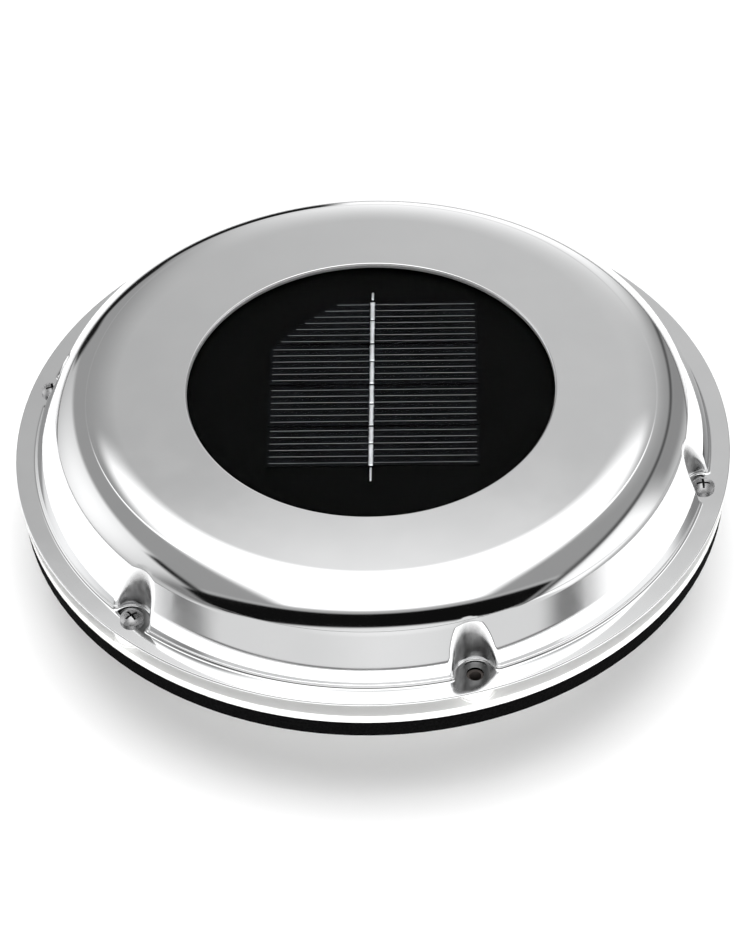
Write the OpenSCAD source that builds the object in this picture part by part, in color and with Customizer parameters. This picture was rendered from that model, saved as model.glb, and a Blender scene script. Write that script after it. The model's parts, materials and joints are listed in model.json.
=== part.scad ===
// Solar powered roof ventilator: a pressed stainless cover with a solar panel in its crown,
// a plastic base with a duct, and a small motor and fan hanging in that duct.
// The origin is on the duct's axis at the roof's surface, +Z points out of the roof.

/* [Cover] */
// Outside diameter of the cover's flange
flange_d = 215; // [205:1:230]
// Height of the cover's crown above the roof
cover_rise = 36.4; // [36:0.2:38]
// Thickness of the cover's sheet
sheet = 0.8; // [0.6:0.1:1]
// Diameter of the opening over the solar panel
panel_opening_d = 109.4; // [100:0.2:110]
// Number of screws that hold the cover
cover_screws_n = 6; // [6]
// Diameter of the half-round recess at each cover screw
dimple_d = 12.4; // [11:0.2:14]

/* [Base] */
// Thickness of the foam gasket
gasket_t = 6; // [5:0.5:8]
// Thickness of the base's plate
plate_t = 2.7; // [2:0.1:3]
// Height of the air gap between the base and the cover's flange
air_gap = 4.9; // [4.5:0.1:5.5]
// Outside diameter of the duct
duct_d = 116; // [114:0.5:117]
// How far the duct reaches below the roof's surface
duct_depth = 30; // [30:1:60]
// Circle of the screws that fix the base to the roof
roof_screw_pcd = 184; // [180:1:188]
// Diameter of the holes for the roof screws
roof_screw_d = 4.5; // [4:0.1:5]

/* [Solar panel] */
// Width of the wafer strips
cell_w = 62.5; // [50:0.5:66]
// Heights of the wafer strips, from the back to the front
strip_h = [19.2, 18, 18, 17];
// Rotation of the cells about the panel's middle
cell_turn = -2.2; // [-5:0.1:5]

/* [Fan] */
// Diameter over the fan's blades
fan_d = 106; // [90:1:106]
// Number of fan blades
blades_n = 6; // [3:1:8]
// Blade pitch at the hub, measured from the fan's plane
blade_pitch = 32; // [15:1:35]

/* [Motor and switch] */
// Diameter of the motor's can
motor_d = 32; // [32:0.5:33]
// Diameter of the motor's shaft
shaft_d = 2; // [2:0.1:2.4]
// Travel of the switch's slider
switch_travel = 4; // [3:0.5:4]
// Diameter of the leads over their insulation
lead_d = 1.2; // [1:0.1:1.4]

/* [Hidden] */
$fn = 96;
eps = 0.01;             // overshoot of a cut past the face it opens

// Levels of the stack, upwards from the roof
plate_top = gasket_t + plate_t;
flange_bottom = plate_top + air_gap;
flange_top = flange_bottom + sheet;
duct_top = 20;

// Cover, as radii from the axis
flange_r = flange_d / 2;
lip_r = panel_opening_d / 2;
crown_slope = 0.8;      // fall of the crown, in degrees
crown_r = flange_r - 31.5;
crown_bend = 45;        // radius of the crown's outer bend
crown_end = 12;         // slope where the crown's bend meets the shoulder
shoulder_bend = 18.8;
shoulder_end = 45;      // slope where the shoulder tightens into the knee
knee_bend = 8;
wall_slope = 67;
wall_end = 20;          // level where the wall starts to steepen towards its foot
skirt_bend = 45;
foot_slope = 74;
screw_r = flange_r - 6.8;
screw_phase = 45;       // azimuth of the first cover screw
empty_hole = 4;         // this hole, counted from the first screw, has no screw in it
dimple_r = dimple_d / 2;
dimple_shift = 0.5;     // dimples sit this much outside the screw circle

// Duct and the pieces in it
duct_r = duct_d / 2;
duct_wall = 2;
bore_r = duct_r - duct_wall;
gasket_in_r = 84;
plate_r = flange_r - 0.8;
carrier_screw_r = 76;
carrier_phase = 45;
carrier_n = 4;

// Panel stack, under the cover's lip
lip_depth = 1.7;
window_top = cover_rise - lip_depth - 0.2;
window_t = 1;
window_bottom = window_top - window_t;
wafer_t = 0.3;
ribbon_t = 0.15;
cell_bottom = window_bottom - 0.5;
board_bottom = cell_bottom - 2.4;
floor_t = 2;
floor_bottom = board_bottom - floor_t;
board_r = 61.1;
cell_centre = [0.8, 4.6];
strip_gap = 0.8;
wafer_r = 75;           // the round blank's radius, which shows at one corner of the cells
ribbon_w = 1.6;
ribbon_x = -0.6;        // the ribbon runs this far from the middle of the cells

// Motor, downwards from the carrier's floor
motor_r = motor_d / 2;
can_wall = 0.8;
endcap_top = floor_bottom - 0.2;
can_top = endcap_top - 1.8;
can_bottom = can_top - 18;
can_bore = motor_r - can_wall;
bush_r = 2.5;
shaft_r = shaft_d / 2;
running_gap = 0.03;
moving_gap = 0.3;       // clearance between moving pieces and their neighbours
shaft_top = endcap_top - 0.6;
shaft_bottom = -7;
cup_r = motor_r + 2;
retainer_t = 2;
retainer_screw_r = 21.5;
pole_r = 11.2;
washer_t = 0.5;
comm_r = 3.2;
brush_t = 0.3;

// Fan
fan_r = fan_d / 2;
hub_r = 13;
hub_top = 3.5;
hub_bottom = -8.5;
blade_mid = -1.1;
blade_t = 1.4;
blade_chord = 21;
blade_bend = 34;

// Grille and switch
grille_bottom = -duct_depth;
grille_t = 2.6;
mesh_bottom = grille_bottom + grille_t;
mesh_t = 0.3;
lug_r = 3.2;
lug_circle = bore_r - 4;
lug_phase = 60;
lugs_n = 3;
pod_r = 14.5;
pod_top = -13;
switch_l = 20;
switch_w = 9;
bezel_bottom = grille_bottom + 1.8;
bezel_t = 1.2;
switch_bottom = bezel_bottom + bezel_t;
switch_top = switch_bottom + 10;
knob_l = 5;
stem_l = 2;
terminal_pitch = 5;

// Points on an arc in the section plane. Angles are slopes: 0 points up, 90 outwards
function slope_arc(centre, r, from, to, steps) =
    [for (i = [0:steps]) let (a = from + (to - from) * i / steps)
        [centre[0] + r * sin(a), centre[1] + r * cos(a)]];

// Centres of the bends of the crown, the shoulder and the knee, each tangent to the one before
crown_centre = [crown_r - crown_bend * sin(crown_slope),
                cover_rise - (crown_r - lip_r) * tan(crown_slope) - crown_bend * cos(crown_slope)];
shoulder_centre = crown_centre + (crown_bend - shoulder_bend) * [sin(crown_end), cos(crown_end)];

knee_centre = shoulder_centre + (shoulder_bend - knee_bend) * [sin(shoulder_end), cos(shoulder_end)];

// Centre of the skirt's bend, tangent to the straight wall above it
wall_start = knee_centre + knee_bend * [sin(wall_slope), cos(wall_slope)];
skirt_centre = [wall_start[0] + (wall_start[1] - wall_end) / tan(wall_slope), wall_end]
               - skirt_bend * [sin(wall_slope), cos(wall_slope)];

// The cover's section on one face of the sheet, from the lip to where the wall reaches level foot
function cover_section(inset, foot) =
    let (crown = slope_arc(crown_centre, crown_bend - inset, crown_slope, crown_end, 4),
         shoulder = slope_arc(shoulder_centre, shoulder_bend - inset, crown_end, shoulder_end, 7),
         knee = slope_arc(knee_centre, knee_bend - inset, shoulder_end, wall_slope, 4),
         skirt = slope_arc(skirt_centre, skirt_bend - inset, wall_slope, foot_slope, 3),
         last = skirt[len(skirt) - 1])
    concat([[0, cover_rise - inset], [lip_r, cover_rise - inset]], crown, shoulder,
           [for (i = [1:len(knee) - 1]) knee[i]], skirt,
           [[last[0] + (last[1] - foot) / tan(foot_slope), foot], [0, foot]]);

module ring(r_out, r_in, bottom, top) {
    translate([0, 0, bottom])
    difference() {
        cylinder(r = r_out, h = top - bottom);
        translate([0, 0, -eps]) cylinder(r = r_in, h = top - bottom + 2 * eps);
    }
}

module post(r, bottom, top) {
    translate([0, 0, bottom]) cylinder(r = r, h = top - bottom);
}

// A box given by its lowest and highest corners
module block(low, high) {
    translate(low) cube(high - low);
}

// Copies of the children on a circle about the axis
module around(n, r, phase = 0) {
    for (i = [0:n - 1]) rotate(phase + i * 360 / n) translate([r, 0, 0]) children();
}

// Pan head screw with a cross recess, seated with the underside of its head at z = 0
module pan_screw(head_r, head_h, shank_r, length, turn = 0) {
    dome_r = (head_r * head_r + head_h * head_h) / (2 * head_h) * 1.4;
    difference() {
        union() {
            intersection() {
                cylinder(r = head_r, h = head_h, $fn = 48);
                translate([0, 0, head_h - dome_r]) sphere(r = dome_r);
            }
            translate([0, 0, -length]) cylinder(r = shank_r, h = length + eps, $fn = 32);
        }
        rotate(turn) for (a = [0, 90]) rotate(a)
            translate([-head_r * 0.58, -head_r * 0.1, head_h * 0.42])
                cube([head_r * 1.16, head_r * 0.2, head_h]);
    }
}

// ---- Cover ----

module dimple_posts(r, bottom) {
    around(cover_screws_n, screw_r + dimple_shift, screw_phase)
        post(r, bottom, cover_rise + 1);
}

module cover() {
    color([0.86, 0.87, 0.88])
    difference() {
        union() {
            difference() {
                rotate_extrude($fn = 180) polygon(cover_section(0, flange_bottom + eps));
                dimple_posts(dimple_r, flange_bottom - 1);
            }
            post(flange_r, flange_bottom, flange_top);
        }
        difference() {
            rotate_extrude($fn = 180) polygon(cover_section(sheet, flange_bottom - 1));
            dimple_posts(dimple_r + sheet, flange_bottom - 2);
            ring(lip_r + sheet, lip_r, cover_rise - lip_depth, cover_rise);
        }
        post(lip_r, flange_bottom - 1, cover_rise + 1);
        around(cover_screws_n, screw_r, screw_phase) post(2.5, 0, flange_top + 1);
    }
}

module cover_screws() {
    color([0.8, 0.8, 0.82])
    for (i = [0:cover_screws_n - 1])
        if (i != empty_hole) rotate(screw_phase + i * 360 / cover_screws_n)
            translate([screw_r, 0, flange_top]) pan_screw(3.4, 2, 1.7, 6.8, i * 57);
}

// ---- Solar panel ----

module panel_seal() {
    color([0.05, 0.05, 0.05]) ring(board_r - 0.3, lip_r + sheet + 0.3, window_top, window_top + 0.9);
}

module panel_window() {
    color([0.1, 0.12, 0.14, 0.4]) post(board_r, window_bottom, window_top);
}

// Offset of the far edge of strip i from the far edge of the cells
function strip_start(i) = i == 0 ? 0 : strip_start(i - 1) + strip_h[i - 1];
cells_h = strip_start(len(strip_h));

module on_cells() {
    rotate(cell_turn) translate([cell_centre[0], cell_centre[1], 0]) children();
}

module solar_cells() {
    color([0.05, 0.06, 0.1]) on_cells()
    intersection() {
        for (i = [0:len(strip_h) - 1])
            block([-cell_w / 2, cells_h / 2 - strip_start(i + 1) + strip_gap / 2, cell_bottom],
                  [cell_w / 2, cells_h / 2 - strip_start(i) - strip_gap / 2, cell_bottom + wafer_t]);
        translate([cell_w / 2, cells_h / 2 - cell_w, 0]) post(wafer_r, cell_bottom - 1, window_top);
    }
}

module cell_ribbons() {
    level = cell_bottom + wafer_t;
    color([0.75, 0.76, 0.78]) on_cells()
    block([ribbon_x - ribbon_w / 2, -cells_h / 2 - 6, level],
          [ribbon_x + ribbon_w / 2, cells_h / 2 + 4, level + ribbon_t]);
}

module cell_board() {
    color([0.03, 0.03, 0.03])
    difference() {
        post(board_r, board_bottom, window_bottom);
        post(board_r - 2.6, cell_bottom, window_bottom + 1);
    }
}

module panel_carrier() {
    leg_in = 60.5;
    leg_out = 64.5;
    foot_top = plate_top + 3.3;
    cup_bottom = can_bottom + 2;
    color([0.85, 0.85, 0.83])
    difference() {
        union() {
            post(63.5, floor_bottom, board_bottom);
            ring(63.5, board_r + 0.2, board_bottom - eps, window_top - 0.2);
            ring(cup_r, motor_r + 0.2, cup_bottom, floor_bottom + eps);
            around(3, retainer_screw_r, 60) post(3, cup_bottom, floor_bottom + eps);
            around(carrier_n, 0, carrier_phase) {
                block([leg_in, -5, plate_top], [leg_out, 5, board_bottom]);
                block([leg_in, -4.5, plate_top], [carrier_screw_r, 4.5, foot_top]);
                translate([carrier_screw_r, 0, 0]) post(4.5, plate_top, foot_top);
            }
        }
        around(carrier_n, carrier_screw_r, carrier_phase) post(1.7, plate_top - 1, foot_top + 1);
        around(3, retainer_screw_r, 60) post(1.3, cup_bottom - 1, cup_bottom + 9);
        post(motor_r + 0.2, cup_bottom - 1, floor_bottom);
        block([motor_r - 2, -8, can_top - 2], [cup_r + 1, 8, floor_bottom]);
        for (side = [-1, 1]) translate([40, side * 6, 0]) post(1.2, floor_bottom - 1, window_top);
    }
}

module carrier_screws() {
    color([0.7, 0.7, 0.72])
    around(carrier_n, carrier_screw_r, carrier_phase)
        translate([0, 0, plate_top + 3.3]) pan_screw(2.8, 1.8, 1.45, 8.6);
}

// ---- Base ----

module base() {
    rib_t = 1.6;
    rib_bottom = gasket_t - 3;
    boss_r = 5.5;
    carrier_boss_r = 4;
    color([0.88, 0.88, 0.86])
    difference() {
        union() {
            ring(plate_r, bore_r, gasket_t, plate_top);
            ring(duct_r, bore_r, -duct_depth, duct_top);
            around(cover_screws_n, screw_r, screw_phase) {
                post(boss_r, plate_top - eps, flange_bottom);
                post(boss_r + 0.4, plate_top - eps, plate_top + 0.6);
            }
            around(carrier_n, carrier_screw_r, carrier_phase)
                post(carrier_boss_r, gasket_t - 3.8, gasket_t + eps);
            around(12, 0, 15) block([duct_r + 1.5, -rib_t / 2, rib_bottom],
                                    [gasket_in_r - 1, rib_t / 2, gasket_t + eps]);
            // Lugs for the grille's screws, joined to the duct's wall
            around(lugs_n, 0, lug_phase) {
                translate([lug_circle, 0, 0]) post(lug_r, mesh_bottom + mesh_t, -12);
                block([lug_circle, -lug_r, mesh_bottom + mesh_t], [bore_r + 1, lug_r, -12]);
            }
            // Channel that keeps the leads against the duct's wall
            for (side = [-1, 1]) block([bore_r - 1.7, side * 4.4 - 0.5, mesh_bottom + 5],
                                       [bore_r + 0.5, side * 4.4 + 0.5, duct_top - 1]);
        }
        around(cover_screws_n, screw_r, screw_phase) post(1.75, plate_top - 1.5, flange_top);
        around(carrier_n, carrier_screw_r, carrier_phase) post(1.5, gasket_t - 2.9, plate_top + 1);
        around(6, roof_screw_pcd / 2, 15) post(roof_screw_d / 2, gasket_t - 1, plate_top + 1);
        around(lugs_n, lug_circle, lug_phase) post(1.3, mesh_bottom, -14);
    }
}

module roof_gasket() {
    color([0.04, 0.04, 0.04])
    difference() {
        ring(plate_r - 0.5, gasket_in_r, 0, gasket_t);
        around(6, roof_screw_pcd / 2, 15) post(roof_screw_d / 2 + 0.4, -1, gasket_t + 1);
    }
}

// ---- Motor ----

module motor_can() {
    color([0.75, 0.75, 0.76])
    difference() {
        post(motor_r, can_bottom, can_top);
        post(can_bore, can_bottom + can_wall, can_top + 1);
        post(bush_r, can_bottom - 1, can_top);
    }
}

module terminal_tabs(grow) {
    for (side = [-1, 1])
        block([12, side * 5 - 1.2 - grow, endcap_top - 1.2 - grow],
              [20.5, side * 5 + 1.2 + grow, endcap_top - 0.7 + grow]);
}

module motor_endcap() {
    color([0.92, 0.92, 0.9])
    difference() {
        union() {
            ring(can_bore - 0.05, 12.5, can_top - 2, can_top + eps);
            post(motor_r, can_top, endcap_top);
            post(4.5, can_top - 0.8, can_top + eps);
        }
        post(bush_r, can_top - 3, endcap_top + 1);
        terminal_tabs(0.02);
    }
}

module motor_magnets() {
    color([0.18, 0.18, 0.19])
    intersection() {
        ring(can_bore, pole_r + 0.6, can_bottom + 1.8, can_bottom + 14);
        for (side = [0, 180]) rotate(side) linear_extrude(height = 60, center = true)
            polygon([[0, 0], [30 * cos(70), -30 * sin(70)], [40, 0], [30 * cos(70), 30 * sin(70)]]);
    }
}

module front_bush() {
    color([0.72, 0.52, 0.3]) ring(bush_r, shaft_r + running_gap, can_bottom - 1.2, can_bottom + 1.8);
}

module rear_bush() {
    color([0.72, 0.52, 0.3]) ring(bush_r, shaft_r + running_gap, can_top - 0.8, endcap_top);
}

module motor_brushes() {
    level = can_top - 3.4;
    color([0.8, 0.55, 0.35])
    for (side = [0, 180]) rotate(side) {
        block([comm_r + moving_gap, -3, level], [comm_r + moving_gap + brush_t, 10, level + 1.8]);
        block([comm_r + moving_gap, 8.6, level], [comm_r + moving_gap + brush_t, 10, can_top]);
    }
}

module motor_terminals() {
    color([0.85, 0.75, 0.45]) terminal_tabs(0);
}

module motor_retainer() {
    color([0.85, 0.85, 0.83])
    difference() {
        union() {
            post(cup_r, can_bottom - retainer_t, can_bottom);
            around(3, retainer_screw_r, 60) post(3, can_bottom - retainer_t, can_bottom + 2);
            around(3, 0, 60)
                block([15, -3, can_bottom - retainer_t], [retainer_screw_r, 3, can_bottom]);
        }
        post(8, can_bottom - retainer_t - 1, can_bottom + 1);
        around(3, retainer_screw_r, 60) post(1.5, can_bottom - retainer_t - 1, can_bottom + 3);
    }
}

module retainer_screws() {
    color([0.7, 0.7, 0.72])
    around(3, retainer_screw_r, 60)
        translate([0, 0, can_bottom - retainer_t]) mirror([0, 0, 1]) pan_screw(2.4, 1.5, 1.25, 10);
}

// ---- Rotor ----

module motor_shaft() {
    color([0.8, 0.8, 0.82]) post(shaft_r, shaft_bottom, shaft_top);
}

module thrust_washers() {
    color([0.95, 0.95, 0.9]) {
        for (bottom = [can_bottom + 1.8 + moving_gap, can_top - 0.8 - moving_gap - washer_t])
            ring(2.6, shaft_r, bottom, bottom + washer_t);
    }
}

core_bottom = can_bottom + 4;
core_top = can_bottom + 12;

module armature_core() {
    color([0.5, 0.5, 0.52]) {
        ring(4, shaft_r, core_bottom, core_top);
        around(3, 0) block([3.7, -1.3, core_bottom], [10, 1.3, core_top]);
        intersection() {
            ring(pole_r, 9.6, core_bottom, core_top);
            for (i = [0:2]) rotate(i * 120) linear_extrude(height = 60, center = true)
                polygon([[0, 0], [20 * cos(50), -20 * sin(50)], [26, 0], [20 * cos(50), 20 * sin(50)]]);
        }
    }
}

module armature_coils() {
    color([0.72, 0.35, 0.15])
    around(3, 0) difference() {
        block([4.7, -3.8, core_bottom - 1.2], [8.6, 3.8, core_top + 1.2]);
        block([4, -1.35, core_bottom - 0.05], [9, 1.35, core_top + 0.05]);
    }
}

module commutator() {
    color([0.78, 0.48, 0.25]) ring(comm_r, shaft_r, can_top - 4, can_top - 0.8 - moving_gap - washer_t);
}

module hub_insert() {
    color([0.82, 0.68, 0.35]) ring(2.4, shaft_r, shaft_bottom, hub_top - 0.3);
}

// One blade: a bent plate that runs out from the hub, cut round at the tip and short of the hub's ends
module blade() {
    intersection() {
        translate([0, 0, blade_mid]) rotate([blade_pitch, 0, 0]) rotate([0, 90, 0])
            linear_extrude(height = fan_r + 2)
                translate([blade_bend, 0]) intersection() {
                    difference() {
                        circle(r = blade_bend + blade_t / 2);
                        circle(r = blade_bend - blade_t / 2);
                    }
                    translate([-blade_bend * 1.2, -blade_chord / 2]) square([blade_bend, blade_chord]);
                }
        ring(fan_r, hub_r - 0.6, hub_bottom + 0.2, hub_top - 0.2);
    }
}

module fan() {
    color([0.9, 0.9, 0.88]) {
        ring(hub_r, hub_r - 1.6, hub_bottom, hub_top);
        ring(hub_r - 1, 2.4, hub_top - 1.6, hub_top);
        ring(4, 2.4, shaft_bottom, hub_top - 1);
        around(blades_n, 0) blade();
    }
}

module fan_nose() {
    nose_h = 3.4;
    dome_r = (hub_r * hub_r + nose_h * nose_h) / (2 * nose_h);
    color([0.9, 0.9, 0.88]) {
        intersection() {
            post(hub_r, hub_bottom - nose_h, hub_bottom);
            translate([0, 0, hub_bottom - nose_h + dome_r]) sphere(r = dome_r);
        }
        ring(hub_r - 1.7, hub_r - 3, hub_bottom - eps, hub_bottom + 3);
    }
}

// ---- Grille and switch ----

module grille() {
    level = mesh_bottom;
    color([0.88, 0.88, 0.86])
    difference() {
        union() {
            ring(bore_r - 0.2, bore_r - 7.4, grille_bottom, level);
            for (r = [25, 37]) ring(r + 1, r - 1, grille_bottom, level);
            around(6, 0) block([pod_r - 2, -1.4, grille_bottom], [bore_r - 7, 1.4, level]);
            post(pod_r, grille_bottom, pod_top);
        }
        around(lugs_n, lug_circle, lug_phase) {
            post(1.6, grille_bottom - 1, level + 1);
            post(2.9, grille_bottom - 1, grille_bottom + 1.3);
        }
        // Pocket for the switch, with a wider recess for its bezel
        block([-switch_l / 2 - 0.1, -switch_w / 2 - 0.1, grille_bottom - 1],
              [switch_l / 2 + 0.1, switch_w / 2 + 0.1, switch_top + 0.1]);
        block([-12.1, -6.1, grille_bottom - 1], [12.1, 6.1, switch_bottom]);
        // Slot that lets the leads in to the switch's terminals
        block([-8, -2.6, switch_top], [pod_r + 1, 2.6, pod_top + 1]);
    }
}

module grille_screws() {
    color([0.7, 0.7, 0.72])
    around(lugs_n, lug_circle, lug_phase)
        translate([0, 0, grille_bottom + 1.3]) mirror([0, 0, 1]) pan_screw(2.7, 1.2, 1.25, 11);
}

module insect_screen() {
    color([0.5, 0.5, 0.5, 0.6])
    difference() {
        ring(bore_r - 0.6, pod_r + 0.3, mesh_bottom, mesh_bottom + mesh_t);
        around(lugs_n, lug_circle, lug_phase) post(1.6, mesh_bottom - 1, mesh_bottom + 1);
    }
}

module switch_contacts(grow) {
    for (i = [-1:1])
        block([i * terminal_pitch - 0.9 - grow, -0.3 - grow, switch_top - 1.5],
              [i * terminal_pitch + 0.9 + grow, 0.3 + grow, switch_top + 3.2]);
}

module switch_body() {
    slot_l = stem_l + switch_travel + 0.6;
    color([0.06, 0.06, 0.06])
    difference() {
        union() {
            block([-switch_l / 2, -switch_w / 2, bezel_bottom], [switch_l / 2, switch_w / 2, switch_top]);
            block([-12, -6, bezel_bottom], [12, 6, switch_bottom]);
        }
        block([-slot_l / 2, -1.3, bezel_bottom - 1], [slot_l / 2, 1.3, switch_bottom + 1]);
        block([-7, -3.3, switch_bottom + 0.4], [7, 3.3, switch_top - 1.2]);
        switch_contacts(0.01);
    }
}

module switch_slider() {
    rest = -switch_travel / 2;
    color([0.8, 0.1, 0.08]) translate([rest, 0, 0]) {
        difference() {
            block([-knob_l / 2, -1.9, grille_bottom + 0.1], [knob_l / 2, 1.9, bezel_bottom - moving_gap]);
            for (x = [-1.5, 0, 1.5]) block([x - 0.3, -2, grille_bottom], [x + 0.3, 2, grille_bottom + 0.4]);
        }
        block([-stem_l / 2, -1, bezel_bottom - moving_gap - eps], [stem_l / 2, 1, switch_bottom + 1]);
        block([-3.5, -2.8, switch_bottom + 0.7], [3.5, 2.8, switch_top - 2.1]);
    }
}

module switch_terminals() {
    color([0.85, 0.75, 0.45]) switch_contacts(0);
}

// ---- Leads ----

wall_x = bore_r - 1.3;
lead_r = lead_d / 2;
spoke_z = mesh_bottom + mesh_t + lead_r + 0.15; // leads lie along a spoke here
tab_z = switch_top + 2.2;

// From the panel over the duct's edge, down its wall and along a spoke to the switch
panel_red_route = [[40, -6, board_bottom], [40, -6, 28.2], [44, -4, 24], [51, -2.6, 21], [54.3, -2, 15],
                   [wall_x, -2, 5], [wall_x, -2, -12], [54, -2, -21], [51, -2, spoke_z + 0.9],
                   [47, -2, spoke_z], [22, -2, spoke_z], [18.8, -2, spoke_z + 0.9], [17, -1.9, -21],
                   [16, -1.7, -17], [13, -1.5, -15.2], [5.6, -0.8, tab_z]];
// From the panel straight to the motor
panel_black_route = [[40, 6, board_bottom], [40, 6, 28.2], [34, 6, 24], [27, 5.4, 25],
                     [20.3, 5, endcap_top - 0.95]];
// From the switch back along the same spoke and up the wall to the motor
switch_red_route = [[0.6, 0.8, tab_z], [5, 1.3, tab_z], [13, 1.5, -15.2], [16, 1.7, -17],
                    [17, 1.9, -21], [18.8, 2, spoke_z + 0.9], [22, 2, spoke_z], [47, 2, spoke_z],
                    [51, 2, spoke_z + 0.9], [54, 2, -21], [wall_x, 2, -12], [wall_x, 2, 5],
                    [54.3, 2, 15], [51, 1.6, 21], [42, -1, 24.5], [30, -4, 25.5],
                    [20.3, -5, endcap_top - 0.95]];

// Heading at b on the way from a to c, as long as the shorter of the two stretches
function heading(a, b, c) =
    let (before = norm(b - a), after = norm(c - b))
    unit(c - a) * (before == 0 ? after : after == 0 ? before : min(before, after));

// Point at t from 0 to 1 between b and c on a smooth curve through a, b, c and d
function curve_point(a, b, c, d, t) =
    let (t2 = t * t, t3 = t2 * t)
    (2 * t3 - 3 * t2 + 1) * b + (t3 - 2 * t2 + t) * heading(a, b, c)
    + (3 * t2 - 2 * t3) * c + (t3 - t2) * heading(b, c, d);
function smooth_route(p, steps) =
    let (n = len(p))
    concat([for (i = [0:n - 2]) for (k = [0:steps - 1])
               curve_point(p[max(i - 1, 0)], p[i], p[i + 1], p[min(i + 2, n - 1)], k / steps)],
           [p[n - 1]]);
function unit(v) = v / norm(v);

// Round tube along a route, with ends square to the route's first and last stretch.
// Each ring's side vector follows from the one before it
module tube(route, r, steps = 5, sides = 8) {
    p = smooth_route(route, steps);
    n = len(p);
    ends = [route[1] - route[0], route[len(route) - 1] - route[len(route) - 2]];
    tangents = [for (i = [0:n - 1]) unit(i == 0 ? ends[0] : i == n - 1 ? ends[1] : p[i + 1] - p[i - 1])];
    side_vectors = [for (i = 0, s = unit(cross(tangents[0], [0.3, 1, 0.2])); i < n;
                         i = i + 1,
                         s = i < n ? unit(s - (s * tangents[i]) * tangents[i]) : s) s];
    points = [for (i = [0:n - 1]) for (k = [0:sides - 1])
                 let (a = k * 360 / sides)
                 p[i] + r * (cos(a) * side_vectors[i] + sin(a) * cross(tangents[i], side_vectors[i]))];
    skin = [for (i = [0:n - 2]) for (k = [0:sides - 1])
               let (m = (k + 1) % sides)
               [i * sides + k, (i + 1) * sides + k, (i + 1) * sides + m, i * sides + m]];
    first = [for (k = [0:sides - 1]) k];
    last = [for (k = [0:sides - 1]) (n - 1) * sides + sides - 1 - k];
    polyhedron(points, concat([first], skin, [last]));
}

module panel_lead_red() {
    color([0.75, 0.05, 0.05]) tube(panel_red_route, lead_r);
}

module panel_lead_black() {
    color([0.05, 0.05, 0.05]) tube(panel_black_route, lead_r);
}

module switch_lead_red() {
    color([0.75, 0.05, 0.05]) tube(switch_red_route, lead_r);
}

cover();
cover_screws();
panel_seal();
panel_window();
solar_cells();
cell_ribbons();
cell_board();
panel_carrier();
carrier_screws();
base();
roof_gasket();
motor_can();
motor_endcap();
motor_magnets();
front_bush();
rear_bush();
motor_brushes();
motor_terminals();
motor_retainer();
retainer_screws();
motor_shaft();
thrust_washers();
armature_core();
armature_coils();
commutator();
hub_insert();
fan();
fan_nose();
grille();
grille_screws();
insect_screen();
switch_body();
switch_slider();
switch_terminals();
panel_lead_red();
panel_lead_black();
switch_lead_red();
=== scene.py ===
import json
import math
import random

import bpy
import numpy as np
from mathutils import Matrix, Vector


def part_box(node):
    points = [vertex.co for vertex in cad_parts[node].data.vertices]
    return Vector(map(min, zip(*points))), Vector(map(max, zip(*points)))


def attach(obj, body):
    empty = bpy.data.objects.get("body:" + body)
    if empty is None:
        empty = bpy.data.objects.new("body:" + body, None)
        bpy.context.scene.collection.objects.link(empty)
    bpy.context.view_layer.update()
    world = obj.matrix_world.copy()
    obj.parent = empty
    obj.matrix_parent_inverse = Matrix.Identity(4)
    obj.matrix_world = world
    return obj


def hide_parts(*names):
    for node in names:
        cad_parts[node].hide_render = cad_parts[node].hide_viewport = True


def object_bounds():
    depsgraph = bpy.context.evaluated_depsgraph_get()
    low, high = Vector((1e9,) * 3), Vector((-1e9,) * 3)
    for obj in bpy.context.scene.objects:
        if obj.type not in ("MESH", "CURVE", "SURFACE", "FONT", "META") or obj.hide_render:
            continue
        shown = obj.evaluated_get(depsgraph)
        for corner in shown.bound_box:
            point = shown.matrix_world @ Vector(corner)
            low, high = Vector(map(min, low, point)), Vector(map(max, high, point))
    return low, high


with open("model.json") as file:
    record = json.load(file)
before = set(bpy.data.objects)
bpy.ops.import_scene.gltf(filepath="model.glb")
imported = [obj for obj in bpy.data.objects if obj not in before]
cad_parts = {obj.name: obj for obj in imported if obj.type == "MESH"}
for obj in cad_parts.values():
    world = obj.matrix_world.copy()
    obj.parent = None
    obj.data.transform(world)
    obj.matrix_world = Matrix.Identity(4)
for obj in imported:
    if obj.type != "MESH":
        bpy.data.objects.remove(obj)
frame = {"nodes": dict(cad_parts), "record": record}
cad_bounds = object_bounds()

MM = 0.001

# Cover's section, in millimetres. Slopes are from level, and a bend is the radius of a round part.
RISE = 36.4
SHEET = 0.8              # thickness of the steel
LIP_IN = 54.75           # radius of the opening over the panel
LIP_BEND = 0.65          # rounding of the lip's top edge
LIP_END_Z = 35.08        # centre height of the lip's rounded lower end
LIP_END_SLACK = 0.025    # how much smaller than the sheet's half thickness that rounding is
FLANGE_TOP = 14.4
FLANGE_EDGE = 107.5
CROWN_SLOPE = math.radians(0.8)
CROWN_END = math.radians(12)
SHOULDER_END = math.radians(45)
WALL_SLOPE = math.radians(63)
WALL_END = 21.5          # height where the straight wall gives way to the skirt
FOOT_SLOPE = math.radians(77)
CROWN_R = 76.0           # radius where the crown starts to bend down
CROWN_BEND = 45.0
SHOULDER_BEND = 18.8
KNEE_BEND = 5.0
SKIRT_BEND = 28.8

# Cover screws and the recesses over them, in millimetres, with the phase in degrees
SCREWS = 6
SCREW_R = 100.7          # radius of the circle that the screws stand on
SCREW_PHASE = 45
HOLE_R = 2.5
DIMPLE_AT = 101.2        # radius of the circle that the recesses are centred on
DIMPLE_R = 6.2
EDGE_ROUND = 1.6         # softness of the edges round each recess
FOOT_ROUND = 0.9         # softness of the fillet where the wall meets the flange

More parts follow.
